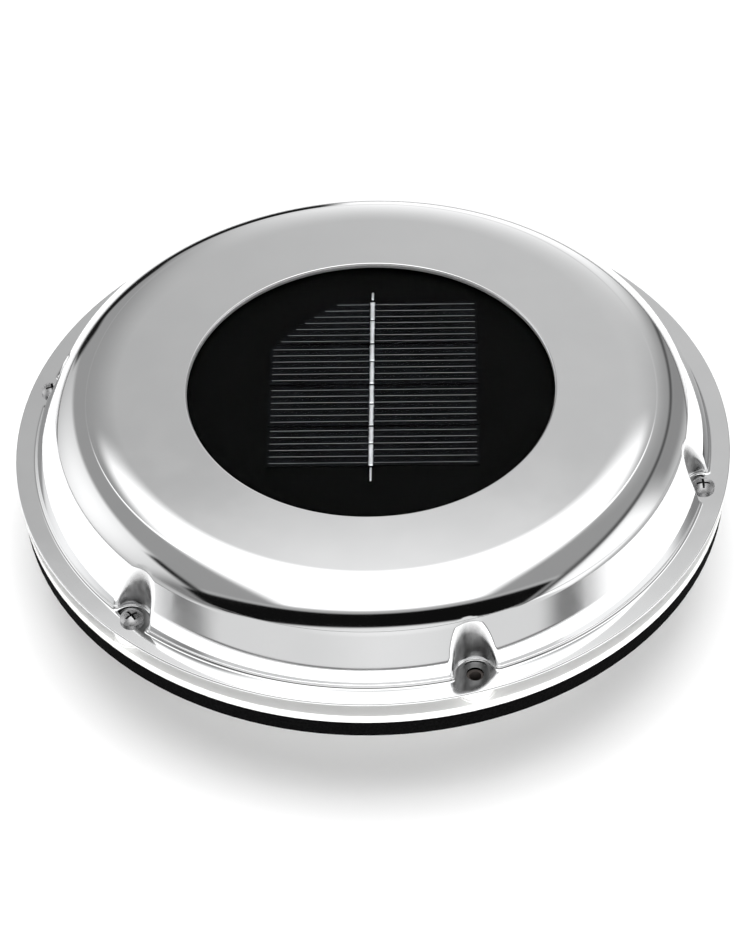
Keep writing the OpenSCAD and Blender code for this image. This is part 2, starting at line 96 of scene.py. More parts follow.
# Cover's mesh. Angles are in degrees, from a screw.
CROWN_ROWS = 9
BEND_ROWS = (6, 18, 12, 9)    # rows on each bend, from the crown to the foot
WALL_ROWS = 12
FLANGE_ROWS = 34
NEAR_ANGLE = 6.2         # columns are close together up to here, and spread out beyond it
NEAR_STEP = 0.2
FAR_COLUMNS = 34
SETTLE_STEPS = 110
SETTLE_SHARE = 0.8       # part of the remaining depth that each step moves by

# Cells, in millimetres
CELL_W = 62.5
STRIPS = (19.2, 18, 18, 17)     # heights of the strips, from the back to the front
FINGERS = (7, 6, 6, 6)          # fingers on each strip
FINGER_PITCH = 2.73
FINGER_W = 0.12
FINGER_T = 0.02
FINGER_MARGIN = 0.8             # bare wafer at each end of a finger
WAFER_R = 75                    # radius of the blank's edge, which cuts one corner
CELL_TOP = 33.3
CELL_TURN = math.radians(-2.2)
CELL_CENTRE = (0.8, 4.6)
RIBBON_X = -0.6
RIBBON_W = 1.6
CELLS_H = sum(STRIPS)

# Insect screen, in millimetres
WIRE_PITCH = 1.9
WIRE_R = 0.07
WIRE_LIFT = 0.075               # how far a wire rises and falls over the others
SCREEN_RIM = 55.0               # wires end at these two radii, inside the hems
SCREEN_HOLE = 15.2
HEMS = ((14.9, 15.5), (54.7, 55.4))
HEM_SIDES = 120

# Camera, fitted to the photo: its place in millimetres, and its directions
CAMERA_PLACE = (-6.0, -765.9, 749.6)
CAMERA_FORWARD = (0.0061, 0.7162, -0.6979)
CAMERA_UP = (0.0374, 0.6973, 0.7159)
CAMERA_LENS = 136.3
SENSOR_W = 36


# ---- Node helpers ----

class Graph:
    """Short names for making and joining shader nodes."""

    def __init__(self, tree):
        self.tree = tree

    def node(self, kind, **settings):
        made = self.tree.nodes.new(kind)
        for key, value in settings.items():
            setattr(made, key, value)
        return made

    def feed(self, socket, source):
        """Joins a socket to another one, or gives it a plain value."""
        if isinstance(source, bpy.types.NodeSocket):
            self.tree.links.new(source, socket)
        else:
            socket.default_value = source

    def math(self, operation, a, b=0.0):
        made = self.node("ShaderNodeMath", operation=operation)
        self.feed(made.inputs[0], a)
        self.feed(made.inputs[1], b)
        return made.outputs[0]

    def mix(self, under, over, mask):
        """The under value where the mask is 0, and the over value where it is 1."""
        lift = self.math("MULTIPLY", self.math("SUBTRACT", over, under), mask)
        return self.math("ADD", under, lift)

    def ramp(self, x, low, high, start=0.0, end=1.0):
        made = self.node("ShaderNodeMapRange", interpolation_type="SMOOTHSTEP")
        self.feed(made.inputs["Value"], x)
        for name, value in (("From Min", low), ("From Max", high), ("To Min", start), ("To Max", end)):
            made.inputs[name].default_value = value
        return made.outputs[0]

    def band(self, x, low, high, soft):
        """1 between low and high, fading to 0 over the soft width at each end."""
        rise = self.ramp(x, low - soft, low + soft)
        fall = self.ramp(x, high - soft, high + soft, 1.0, 0.0)
        return self.math("MULTIPLY", rise, fall)

    def box(self, x, y, x_range, y_range, soft):
        return self.math("MULTIPLY", self.band(x, *x_range, soft), self.band(y, *y_range, soft))

    def blob(self, x, y, centre, radius):
        """1 at the centre, fading to 0 at the radius."""
        away = self.length(self.math("SUBTRACT", x, centre[0]), self.math("SUBTRACT", y, centre[1]))
        return self.ramp(away, 0.0, radius, 1.0, 0.0)

    def noise(self, size, detail=2.0, stretch=(1, 1, 1)):
        """Noise whose features are about size metres across, from 0 to 1."""
        place = self.node("ShaderNodeTexCoord")
        scaled = self.node("ShaderNodeMapping")
        scaled.inputs["Scale"].default_value = stretch
        self.feed(scaled.inputs["Vector"], place.outputs["Object"])
        made = self.node("ShaderNodeTexNoise")
        made.inputs["Scale"].default_value = 1 / size
        made.inputs["Detail"].default_value = detail
        self.feed(made.inputs["Vector"], scaled.outputs["Vector"])
        return made.outputs["Fac"]

    def cells(self, size):
        """Distance to the nearest cell centre, in cells about size metres across."""
        place = self.node("ShaderNodeTexCoord")
        made = self.node("ShaderNodeTexVoronoi")
        made.inputs["Scale"].default_value = 1 / size
        self.feed(made.inputs["Vector"], place.outputs["Object"])
        return made.outputs["Distance"]

    def place(self):
        """x, y and z of the shaded point, in metres."""
        split = self.node("ShaderNodeSeparateXYZ")
        self.feed(split.inputs[0], self.node("ShaderNodeTexCoord").outputs["Object"])
        return split.outputs

    def length(self, a, b):
        square = self.math("ADD", self.math("MULTIPLY", a, a), self.math("MULTIPLY", b, b))
        return self.math("SQRT", square)

    def from_screw(self):
        """Distance in metres to the axis of the nearest cover screw."""
        x, y, _ = self.place()
        sector = math.radians(360 / SCREWS)
        azimuth = self.math("SUBTRACT", self.math("ARCTAN2", y, x), math.radians(SCREW_PHASE))
        turns = self.math("ROUND", self.math("DIVIDE", azimuth, sector))
        angle = self.math("SUBTRACT", azimuth, self.math("MULTIPLY", turns, sector))
        r = self.length(x, y)
        along = self.math("SUBTRACT", self.math("MULTIPLY", r, self.math("COSINE", angle)), SCREW_R * MM)
        return self.length(along, self.math("MULTIPLY", r, self.math("SINE", angle)))

    def bump(self, height, depth, under=None):
        made = self.node("ShaderNodeBump")
        made.inputs["Strength"].default_value = 1.0
        made.inputs["Distance"].default_value = depth
        self.feed(made.inputs["Height"], height)
        if under is not None:
            self.feed(made.inputs["Normal"], under)
        return made.outputs["Normal"]

    def blend(self, first, second, factor):
        made = self.node("ShaderNodeMix", data_type="RGBA")
        self.feed(made.inputs[0], factor)
        for socket, colour in ((made.inputs[6], first), (made.inputs[7], second)):
            self.feed(socket, colour if isinstance(colour, bpy.types.NodeSocket) else (*colour, 1))
        return made.outputs[2]


def new_material(name):
    made = bpy.data.materials.new(name)
    made.use_nodes = True
    return made, Graph(made.node_tree), made.node_tree.nodes["Principled BSDF"]


def shade(colour, amount):
    return tuple(min(1.0, c * amount) for c in colour)


def surface(name, colour, metallic, roughness, grain, depth, mottle=0.08, stretch=(1, 1, 1), **extra):
    """A solid material with mottled colour, uneven gloss, fine grain and broad moulding waves.

    grain and depth are the size and height of the fine texture, in metres.
    """
    made, graph, shader = new_material(name)
    shader.inputs["Metallic"].default_value = metallic
    for key, value in extra.items():
        shader.inputs[key.replace("_", " ")].default_value = value
    broad = graph.noise(9 * MM, 4.0)
    fine = graph.noise(grain, 3.0, stretch)
    graph.feed(shader.inputs["Base Color"],
               graph.blend(shade(colour, 1 - mottle), shade(colour, 1 + mottle), broad))
    graph.feed(shader.inputs["Roughness"], graph.ramp(fine, 0.25, 0.75, roughness * 0.8, roughness * 1.2))
    waves = graph.bump(graph.noise(22 * MM, 1.0), 0.03 * MM)
    graph.feed(shader.inputs["Normal"], graph.bump(fine, depth, waves))
    return made


# ---- Materials ----

def mirror_steel():
    """Pressed stainless sheet, mirror polished. The stretched metal in the screw recesses and the
    cut edge round the panel, which a polishing wheel can't reach, stay dull. The recesses also get
    painted shade: their colour is darkened to a streaky dark grey."""
    made, graph, shader = new_material("polished_steel")
    shader.inputs["Metallic"].default_value = 1.0
    haze = graph.noise(14 * MM, 5.0)
    x, y, z = graph.place()
    recess = graph.math("MULTIPLY", graph.ramp(graph.from_screw(), 5.4 * MM, 6.9 * MM, 1.0, 0.0),
                        graph.ramp(z, 14.7 * MM, 16.5 * MM))
    cut_edge = graph.ramp(graph.length(x, y), (LIP_IN + 0.1) * MM, (LIP_IN + 0.25) * MM, 1.0, 0.0)
    # This mask covers the dull cut edge and the recesses, whose colour also carries painted shade.
    dull = graph.math("MAXIMUM", recess, cut_edge)
    # Painted shade in the recesses: a streaky dark grey. The cut edge gets a light grey of its own.
    streaks = graph.noise(1.2 * MM, 4.0, (1, 1, 0.3))
    streaked_recess_shade = graph.blend((0.1, 0.1, 0.1), (0.5, 0.5, 0.5), streaks)
    cut_edge_and_recess_shade = graph.blend(streaked_recess_shade, (0.8, 0.8, 0.8), cut_edge)
    bright = graph.blend((0.86, 0.865, 0.87), (0.91, 0.912, 0.915), haze)
    graph.feed(shader.inputs["Base Color"], graph.blend(bright, cut_edge_and_recess_shade, dull))
    polish = graph.ramp(haze, 0.3, 0.7, 0.035, 0.075)
    rough = graph.mix(graph.mix(polish, 0.36, recess), 0.65, cut_edge)
    graph.feed(shader.inputs["Roughness"], rough)
    waves = graph.bump(graph.noise(26 * MM, 1.5), 0.012 * MM)
    graph.feed(shader.inputs["Normal"], graph.bump(graph.noise(0.5 * MM, 2.0), 0.00015 * MM, waves))
    return made


def cover_screw_steel():
    """Plated screw steel, with painted shade, near black, in the cross recess of each cover screw."""
    made, graph, shader = new_material("cover_screw_steel")
    shader.inputs["Metallic"].default_value = 1.0
    fine = graph.noise(0.5 * MM, 3.0)
    floor_z = (FLANGE_TOP + 0.9) * MM
    # Painted shade: near black on the floor and lower walls of each cross recess.
    cross_recess_shade = graph.math("MULTIPLY", graph.ramp(graph.from_screw(), 2.0 * MM, 2.3 * MM, 1.0, 0.0),
                          graph.ramp(graph.place()[2], floor_z, floor_z + 0.7 * MM, 1.0, 0.0))
    plated = graph.blend((0.5, 0.5, 0.5), (0.66, 0.66, 0.67), fine)
    graph.feed(shader.inputs["Base Color"], graph.blend(plated, (0.02, 0.02, 0.02), cross_recess_shade))
    graph.feed(shader.inputs["Roughness"], graph.ramp(fine, 0.25, 0.75, 0.24, 0.36))
    graph.feed(shader.inputs["Normal"], graph.bump(fine, 0.006 * MM))
    return made


def base_plastic():
    """Pale moulded plastic, darkened with painted shade where it lies under a cover screw hole, so that it
    shows dark through the cover's empty screw hole.
    """
    made, graph, shader = new_material("base_plastic")
    mottle = graph.noise(9 * MM, 4.0)
    fine = graph.noise(0.35 * MM, 3.0)
    # Painted shade: near black within the screw hole's radius of each cover screw's axis.
    painted_shade = graph.ramp(graph.from_screw(), 2.5 * MM, 2.8 * MM, 1.0, 0.0)
    clean = graph.blend((0.78, 0.78, 0.77), (0.82, 0.82, 0.81), mottle)
    graph.feed(shader.inputs["Base Color"], graph.blend(clean, (0.06, 0.052, 0.048), painted_shade))
    graph.feed(shader.inputs["Roughness"], graph.ramp(fine, 0.25, 0.75, 0.3, 0.42))
    waves = graph.bump(graph.noise(22 * MM, 1.0), 0.03 * MM)
    graph.feed(shader.inputs["Normal"], graph.bump(fine, 0.004 * MM, waves))
    return made


def clear_window():
    made, graph, shader = new_material("clear_window")
    shader.inputs["Base Color"].default_value = (0.97, 0.98, 0.985, 1)
    shader.inputs["Transmission Weight"].default_value = 1.0
    shader.inputs["IOR"].default_value = 1.05
    smear = graph.noise(12 * MM, 4.0)
    graph.feed(shader.inputs["Roughness"], graph.ramp(smear, 0.35, 0.7, 0.0, 0.025))
    return made


def foam():
    """Closed-cell foam: dull black with small round pores."""
    made, graph, shader = new_material("gasket_foam")
    pores = graph.cells(0.7 * MM)
    graph.feed(shader.inputs["Base Color"],
               graph.blend((0.0008, 0.0008, 0.0008), (0.004, 0.004, 0.0042), pores))
    shader.inputs["Roughness"].default_value = 0.85
    shader.inputs["Specular IOR Level"].default_value = 0.02
    coarse = graph.bump(graph.noise(3 * MM, 3.0), 0.15 * MM)
    graph.feed(shader.inputs["Normal"], graph.bump(pores, 0.12 * MM, coarse))
    return made


def wafer():
    """Dark antireflection coating over etched silicon, with faint crystal patches."""
    made, graph, shader = new_material("wafer")
    patches = graph.cells(4 * MM)
    graph.feed(shader.inputs["Base Color"],
               graph.blend((0.0016, 0.0018, 0.0022), (0.0034, 0.0038, 0.0048), patches))
    graph.feed(shader.inputs["Roughness"], graph.ramp(graph.noise(0.3 * MM), 0.3, 0.7, 0.32, 0.45))
    shader.inputs["Specular IOR Level"].default_value = 0.015
    graph.feed(shader.inputs["Normal"], graph.bump(graph.noise(0.12 * MM, 2.0), 0.004 * MM))
    return made


def make_materials():
    around_axis = (1, 1, 0.04)
    along_wire = (0.15, 0.15, 1)
    return {
        "polished_steel": mirror_steel(),
        "clear_window": clear_window(),
        "gasket_foam": foam(),
        "wafer": wafer(),
        "screw_steel": surface("screw_steel", (0.72, 0.72, 0.73), 1, 0.2, 0.4 * MM, 0.004 * MM, 0.1),
        "seal_rubber": surface("seal_rubber", (0.012, 0.012, 0.012), 0, 0.6, 0.3 * MM, 0.01 * MM),
        "tinned_ribbon": surface("tinned_ribbon", (0.6, 0.61, 0.62), 1, 0.34, 0.5 * MM, 0.05 * MM, 0.3),
        "printed_silver": surface("printed_silver", (0.22, 0.23, 0.24), 0.4, 0.5, 0.3 * MM, 0.01 * MM, 0.2),
        "board_black": surface("board_black", (0.0013, 0.0014, 0.0014), 0, 0.5, 0.25 * MM, 0.004 * MM,
                               Specular_IOR_Level=0.01),
        "pale_plastic": surface("pale_plastic", (0.8, 0.8, 0.79), 0, 0.36, 0.35 * MM, 0.004 * MM, 0.02),
        "motor_steel": surface("motor_steel", (0.62, 0.62, 0.63), 1, 0.28, 0.3 * MM, 0.003 * MM, 0.08,
                               around_axis),
        "ferrite": surface("ferrite", (0.05, 0.05, 0.053), 0, 0.62, 0.25 * MM, 0.02 * MM, 0.2),
        "bronze": surface("bronze", (0.55, 0.33, 0.16), 1, 0.42, 0.15 * MM, 0.01 * MM, 0.15),
        "brass": surface("brass", (0.78, 0.58, 0.26), 1, 0.26, 0.3 * MM, 0.003 * MM, 0.1, around_axis),
        "copper": surface("copper", (0.6, 0.22, 0.08), 1, 0.3, 0.25 * MM, 0.05 * MM, 0.15, around_axis),
        "lamination": surface("lamination", (0.36, 0.36, 0.38), 1, 0.38, 0.35 * MM, 0.03 * MM, 0.12,
                              (0.05, 0.05, 1)),
        "white_nylon": surface("white_nylon", (0.83, 0.83, 0.8), 0, 0.42, 0.3 * MM, 0.005 * MM, 0.03),
        "screen_wire": surface("screen_wire", (0.55, 0.55, 0.56), 1, 0.35, 0.2 * MM, 0.004 * MM, 0.1,
                               along_wire),
        "switch_black": surface("switch_black", (0.018, 0.018, 0.018), 0, 0.45, 0.25 * MM, 0.008 * MM),
        "switch_red": surface("switch_red", (0.55, 0.02, 0.015), 0, 0.3, 0.3 * MM, 0.004 * MM),
        "lead_red": surface("lead_red", (0.5, 0.012, 0.01), 0, 0.42, 0.3 * MM, 0.006 * MM),
        "lead_black": surface("lead_black", (0.012, 0.012, 0.012), 0, 0.42, 0.3 * MM, 0.006 * MM),
    }


materials = make_materials()
node_slot = {part["node"]: part["material_slot"] for part in frame["record"]["subparts"]}

# Nodes whose look varies over them, so that their slot's plain material won't do
own_look = {"cover_screws": cover_screw_steel(), "base": base_plastic()}


def dress_cad_nodes():
    for name, node in frame["nodes"].items():
        for held in node.material_slots:
            held.material = own_look.get(name, materials[node_slot[name]])


def new_piece(name, vertices, faces, slot, body, smooth=True, look=None):
    """Makes a mesh piece from points in millimetres, riding on a body, for a slot of the record.

    look names the material where it isn't the slot's own.
    """
    mesh = bpy.data.meshes.new(name)
    mesh.from_pydata([tuple(p) for p in np.asarray(vertices, float) * MM], [], faces)
    mesh.validate()
    mesh.polygons.foreach_set("use_smooth", [smooth] * len(mesh.polygons))
    piece = bpy.data.objects.new(name, mesh)
    bpy.context.scene.collection.objects.link(piece)
    mesh.materials.append(materials[look or slot])
    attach(piece, body)
    return piece


# ---- Cover ----

def sloping(slope):
    """Unit vector, in (r, z), of the outward normal of a face at this slope from level."""
    return np.array([math.sin(slope), math.cos(slope)])


crown_centre = (np.array([CROWN_R, RISE - (CROWN_R - LIP_IN) * math.tan(CROWN_SLOPE)])
                - CROWN_BEND * sloping(CROWN_SLOPE))
shoulder_centre = crown_centre + (CROWN_BEND - SHOULDER_BEND) * sloping(CROWN_END)
knee_centre = shoulder_centre + (SHOULDER_BEND - KNEE_BEND) * sloping(SHOULDER_END)
wall_start = knee_centre + KNEE_BEND * sloping(WALL_SLOPE)
wall_stop = np.array([wall_start[0] + (wall_start[1] - WALL_END) / math.tan(WALL_SLOPE), WALL_END])
skirt_centre = wall_stop - SKIRT_BEND * sloping(WALL_SLOPE)

# The bends of the cover's section, from the crown to the foot: centre, bend, first and last slope
BENDS = ((crown_centre, CROWN_BEND, CROWN_SLOPE, CROWN_END),
         (shoulder_centre, SHOULDER_BEND, CROWN_END, SHOULDER_END),
         (knee_centre, KNEE_BEND, SHOULDER_END, WALL_SLOPE),
         (skirt_centre, SKIRT_BEND, WALL_SLOPE, FOOT_SLOPE))


def soft_min(a, b, width):
    """The smaller of two values, with the switch between them rounded over the width."""
    share = np.clip(0.5 + 0.5 * (b - a) / width, 0, 1)
    return b + (a - b) * share - width * share * (1 - share)


def soft_max(a, b, width):
    return -soft_min(-a, -b, width)


def bend_depth(r, z, centre, bend, first, last):
    """Depth under a round bend that runs on straight past its first and last slopes."""
    right, up = r - centre[0], z - centre[1]
    slope = np.clip(np.arctan2(right, up), first, last)
    return bend - right * np.sin(slope) - up * np.cos(slope)


def depth_inside(x, y, z):
    """Depth below the cover's outer face, in a sector whose screw lies on +X."""
    r = np.hypot(x, y)
    dome = np.minimum.reduce([bend_depth(r, z, *bend) for bend in BENDS])
    dimple = np.hypot(x - DIMPLE_AT, y) - DIMPLE_R
    return soft_max(soft_min(dome, dimple, EDGE_ROUND), FLANGE_TOP - z, FOOT_ROUND)


def settle(r, z, away, down, angle):
    """Moves points along a ray in the section plane until they lie on the cover's outer face."""
    travel = np.zeros_like(angle + r)
    for _ in range(SETTLE_STEPS):
        rr, zz = r - away * travel, z - down * travel
        travel = travel - SETTLE_SHARE * depth_inside(rr * np.cos(angle), rr * np.sin(angle), zz)
    return r - away * travel, z - down * travel


def outer_rows(angle):
    """Rows of (r, z) on the outer face from the crown's inner edge to the flange's edge."""
    crown_r = np.concatenate([[LIP_IN + LIP_BEND + 0.01],
                              np.linspace(LIP_IN + 1.4, CROWN_R - 0.5, CROWN_ROWS)])
    rows = [(r, RISE - (r - LIP_IN) * math.tan(CROWN_SLOPE)) for r in crown_r]
    slopes = [CROWN_SLOPE] * len(rows)
    for (centre, bend, first, last), count in zip(BENDS, BEND_ROWS):
        if first == WALL_SLOPE:
            straight = np.linspace(wall_start, wall_stop, WALL_ROWS, endpoint=False)[1:]
            rows += list(straight)
            slopes += [WALL_SLOPE] * len(straight)
        for slope in np.linspace(first, last, count):
            rows.append(centre + bend * sloping(slope))
            slopes.append(slope)
    start = np.array(rows)
    turn = np.clip(np.array(slopes)[:, None] * 2, 0, math.pi / 2)
    r, z = settle(start[:, :1], start[:, 1:], np.sin(turn), np.cos(turn), angle)
    share = np.linspace(0.01, 1, FLANGE_ROWS)[:, None] ** 1.25
    flange_r = r[-1] + (FLANGE_EDGE - SHEET / 2 - r[-1]) * share
    flange = settle(flange_r, np.full_like(flange_r, FLANGE_TOP + 2), 0.0, 1.0, angle)
    return np.vstack([r, flange[0]]), np.vstack([z, flange[1]])


def outward(points):
    """Unit normals of the outer face, from the slope of the depth."""
    step = 0.01
    slope = [depth_inside(*(points + step * axis).T) - depth_inside(*(points - step * axis).T)
             for axis in np.eye(3)]
    normal = -np.array(slope).T
    return normal / np.linalg.norm(normal, axis=-1, keepdims=True)


def round_edge(centre, radius, start, stop, steps, angle):
    """Rows round a small arc in the section plane, and their normals. Angles in degrees, 0 outwards."""
    points, normals = [], []
    for a in np.radians(np.linspace(start, stop, steps)):
        r = centre[0] + radius * math.cos(a)
        z = centre[1] + radius * math.sin(a)
        points.append(np.column_stack([r * np.cos(angle), r * np.sin(angle), np.full_like(angle, z)]))
        normals.append(np.column_stack([math.cos(a) * np.cos(angle), math.cos(a) * np.sin(angle),
                                        np.full_like(angle, math.sin(a))]))
    return points, normals


def cover_sector():
    """One sixth of the cover, as rows of points and normals round its whole section, screw on +X."""
    near = np.arange(-NEAR_ANGLE, NEAR_ANGLE, NEAR_STEP)
    side = np.linspace(NEAR_ANGLE, 180 / SCREWS, FAR_COLUMNS)
    angle = np.radians(np.concatenate([-side[:0:-1], near, side[:-1]]))
    r, z = outer_rows(angle)
    outer = np.stack([r * np.cos(angle), r * np.sin(angle), z], axis=-1)
    shape = outer.shape
    normal = outward(outer.reshape(-1, 3)).reshape(shape)
    inner = outer - SHEET * normal
    half = SHEET / 2
    lip, lip_n = round_edge((LIP_IN + LIP_BEND, RISE - LIP_BEND), LIP_BEND, 180, 90, 10, angle)
    edge, edge_n = round_edge((FLANGE_EDGE - half, FLANGE_TOP - half), half, 70, -70, 6, angle)
    end, end_n = round_edge((LIP_IN + half, LIP_END_Z), half - LIP_END_SLACK, 0, -180, 7, angle)
    points = lip + list(outer) + edge + list(inner[::-1]) + end
    normals = lip_n + list(normal) + edge_n + list(-normal[::-1]) + end_n
    first_outer = len(lip)
    first_inner = len(lip) + len(outer) + len(edge)
    return np.array(points), np.array(normals), first_outer, first_inner, len(outer)


def sector_turn(sector):
    """Angle round the axis of a sector's screw."""
    return math.radians(SCREW_PHASE + sector * 360 / SCREWS)


def open_hole(points):
    """Marks the faces inside the screw hole, and moves the corners that bound it onto its circle."""
    rows, columns = points.shape[:2]
    middle = (points + np.roll(points, -1, axis=0)) / 2
    middle = (middle[:, :-1] + middle[:, 1:]) / 2
    gone = np.zeros((rows, columns), bool)
    gone[:, :-1] = np.hypot(middle[..., 0] - SCREW_R, middle[..., 1]) < HOLE_R
    rim = np.zeros((rows, columns), bool)
    for i, j in zip(*np.nonzero(gone)):
        for di, dj in ((0, 0), (0, 1), (1, 0), (1, 1)):
            rim[(i + di) % rows, j + dj] = True
    inside = gone & np.roll(gone, 1, 0) & np.roll(gone, 1, 1) & np.roll(np.roll(gone, 1, 0), 1, 1)
    rim &= ~inside
    offset = points[rim][:, :2] - (SCREW_R, 0)
    length = np.linalg.norm(offset, axis=1, keepdims=True)
    points[rim, :2] = (SCREW_R, 0) + offset * HOLE_R / length
    return gone


def repeat_round(points, normals):
    """The sector's rows of points and normals, repeated at every screw."""
    rows, columns = points.shape[:2]
    all_points = np.zeros((rows, columns * SCREWS, 3))
    all_normals = np.zeros((rows, columns * SCREWS, 3))
    for sector in range(SCREWS):
        turn = sector_turn(sector)
        matrix = np.array([[math.cos(turn), -math.sin(turn), 0],
                           [math.sin(turn), math.cos(turn), 0],
                           [0, 0, 1]])
        here = slice(sector * columns, (sector + 1) * columns)
        all_points[:, here] = points @ matrix.T
        all_normals[:, here] = normals @ matrix.T
    return all_points, all_normals


# Each side of a face: its two corners, then the step to the face beyond it, as (row, column)
FACE_SIDES = (((0, 0), (0, 1), (-1, 0)),
              ((1, 1), (1, 0), (1, 0)),
              ((1, 0), (0, 0), (0, -1)),
              ((0, 1), (1, 1), (0, 1)))


def hole_walls(corners, gone, index, first_outer, last_inner):
    """Points, normals and faces of the wall of each hole, between the two faces of the sheet.

    corners are all the cover's points, and gone marks the hole's faces in the rows of the outer face.
    """
    points, normals, faces = [], [], []
    for sector in range(SCREWS):
        turn = sector_turn(sector)
        centre = SCREW_R * np.array([math.cos(turn), math.sin(turn), 0])
        for i, j in zip(*np.nonzero(gone)):
            for a, b, beyond in FACE_SIDES:
                if gone[i + beyond[0], j + beyond[1]]:
                    continue
                side = [(i + a[0], j + a[1]), (i + b[0], j + b[1])]
                ring = [index(first_outer + row, column, sector) for row, column in side]
                ring += [index(last_inner - row, column, sector) for row, column in side[::-1]]
                faces.append(tuple(len(corners) + len(points) + k for k in range(4)))
                for spot in corners[ring]:
                    toward = (centre - spot) * (1, 1, 0)
                    points.append(spot)
                    normals.append(toward / np.linalg.norm(toward))
    return points, normals, faces


def cover_mesh():
    """Vertices, normals and faces of the whole cover."""
    points, normals, first_outer, first_inner, count = cover_sector()
    rows, columns = points.shape[:2]
    gone = open_hole(points)
    all_points, all_normals = repeat_round(points, normals)

    def index(i, j, sector):
        across = columns * SCREWS
        return (i % rows) * across + (sector * columns + j) % across

    faces = [(index(i, j, s), index(i + 1, j, s), index(i + 1, j + 1, s), index(i, j + 1, s))
             for s in range(SCREWS) for i in range(rows) for j in range(columns) if not gone[i, j]]
    corners = all_points.reshape(-1, 3)
    outer_gone = gone[first_outer:first_outer + count]
    wall_points, wall_normals, walls = hole_walls(corners, outer_gone, index, first_outer,
                                                  first_inner + count - 1)
    return (np.vstack([corners, wall_points]), np.vstack([all_normals.reshape(-1, 3), wall_normals]),
            faces + walls)


def make_cover():
    vertices, normals, faces = cover_mesh()
    piece = new_piece("pressed_cover", vertices, faces, "polished_steel", "housing")
    if len(piece.data.vertices) != len(normals):
        raise ValueError("the cover's mesh lost vertices, so its normals no longer match")
    piece.data.normals_split_custom_set_from_vertices([tuple(n) for n in normals])
    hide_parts("cover")


# ---- Solar cells ----

def from_cells(x, y, z):
    """A point in the cells' own frame, as the part's frame has it."""
    x, y = x + CELL_CENTRE[0], y + CELL_CENTRE[1]
    return (x * math.cos(CELL_TURN) - y * math.sin(CELL_TURN),
            x * math.sin(CELL_TURN) + y * math.cos(CELL_TURN), z)


def add_bar(vertices, faces, x_range, y_range, z_range):
    """Adds a box, given in the cells' own frame."""
    base = len(vertices)
    vertices += [from_cells(x, y, z) for z in z_range for y in y_range for x in x_range]
    faces += [tuple(base + k for k in quad) for quad in
              ((0, 2, 3, 1), (4, 5, 7, 6), (0, 1, 5, 4), (2, 6, 7, 3), (0, 4, 6, 2), (1, 3, 7, 5))]


def make_fingers():
    """Printed silver fingers, which stop at the wafer's round corner."""
    vertices, faces = [], []
    top = CELLS_H / 2
    for height, count in zip(STRIPS, FINGERS):
        middle = top - height / 2
        top -= height
        for k in range(count):
            y = middle + ((count - 1) / 2 - k) * FINGER_PITCH
            chord = math.sqrt(WAFER_R ** 2 - (y - (CELLS_H / 2 - CELL_W)) ** 2)
            left = max(-CELL_W / 2, CELL_W / 2 - chord) + FINGER_MARGIN
            add_bar(vertices, faces, (left, CELL_W / 2 - FINGER_MARGIN),
                    (y - FINGER_W / 2, y + FINGER_W / 2), (CELL_TOP, CELL_TOP + FINGER_T))
    new_piece("cell_fingers", vertices, faces, "tinned_ribbon", "housing", smooth=False,
              look="printed_silver")


def ribbon_lengths(dice):
    """Upper end, lower end and share of the full width of each length, from the back tab to the front."""
    cuts = [CELLS_H / 2 - sum(STRIPS[:k]) for k in range(len(STRIPS) + 1)]
    lengths = [(cuts[0] + 4, cuts[0] + 0.7, 0.45)]
    for top, bottom in zip(cuts, cuts[1:]):
        knee = top - (top - bottom) * dice.uniform(0.42, 0.55)
        lengths += [(top - 0.3, knee + 0.25, 0.86), (knee - 0.25, bottom + 0.35, 0.86)]
    lengths.append((cuts[-1] - 0.5, cuts[-1] - 6, 0.4))
    return lengths


def make_ribbon():
    """Tinned ribbon in lumpy soldered lengths, with breaks between them and thin end tabs."""
    dice = random.Random(4)
    sides = 7
    lift = 0.002
    vertices, faces = [], []
    for high, low, share in ribbon_lengths(dice):
        count = max(4, int((high - low) / 0.4))
        base = len(vertices)
        for i in range(count):
            y = low + (high - low) * i / (count - 1)
            width = RIBBON_W * share * dice.uniform(0.82, 1.08)
            height = dice.uniform(0.07, 0.14)
            shift = dice.uniform(-0.05, 0.05)
            for k in range(sides):
                a = math.pi * k / (sides - 1)
                vertices.append(from_cells(RIBBON_X + shift - width / 2 * math.cos(a), y,
                                           CELL_TOP + lift + (height - lift) * math.sin(a)))
        for i in range(count - 1):
            for k in range(sides):
                p, q = base + i * sides, (k + 1) % sides
                faces.append((p + k, p + q, p + sides + q, p + sides + k))
        faces.append(tuple(base + k for k in range(sides))[::-1])
        faces.append(tuple(base + (count - 1) * sides + k for k in range(sides)))
    piece = new_piece("soldered_ribbon", vertices, faces, "tinned_ribbon", "housing")
    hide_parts("cell_ribbons")


# ---- Insect screen ----

def add_wire(vertices, faces, middle, fixed, span, direction, phase):
    """Adds a wavy square-section wire along x (direction 0) or y (1), at a fixed place across it."""
    start, stop = span
    steps = max(2, int((stop - start) / (WIRE_PITCH / 2)))
    base = len(vertices)
    for i in range(steps + 1):
        along = start + (stop - start) * i / steps
        z = middle + WIRE_LIFT * math.cos(math.pi * along / WIRE_PITCH + phase)
        for k in range(4):
            a = math.pi / 2 * k
            side, up = WIRE_R * math.cos(a), WIRE_R * math.sin(a)
            spot = (along, fixed + side, z + up) if direction == 0 else (fixed + side, along, z + up)
            vertices.append(spot)
    for i in range(steps):
        for k in range(4):
            m = (k + 1) % 4
            p = base + i * 4
            faces.append((p + k, p + m, p + 4 + m, p + 4 + k))


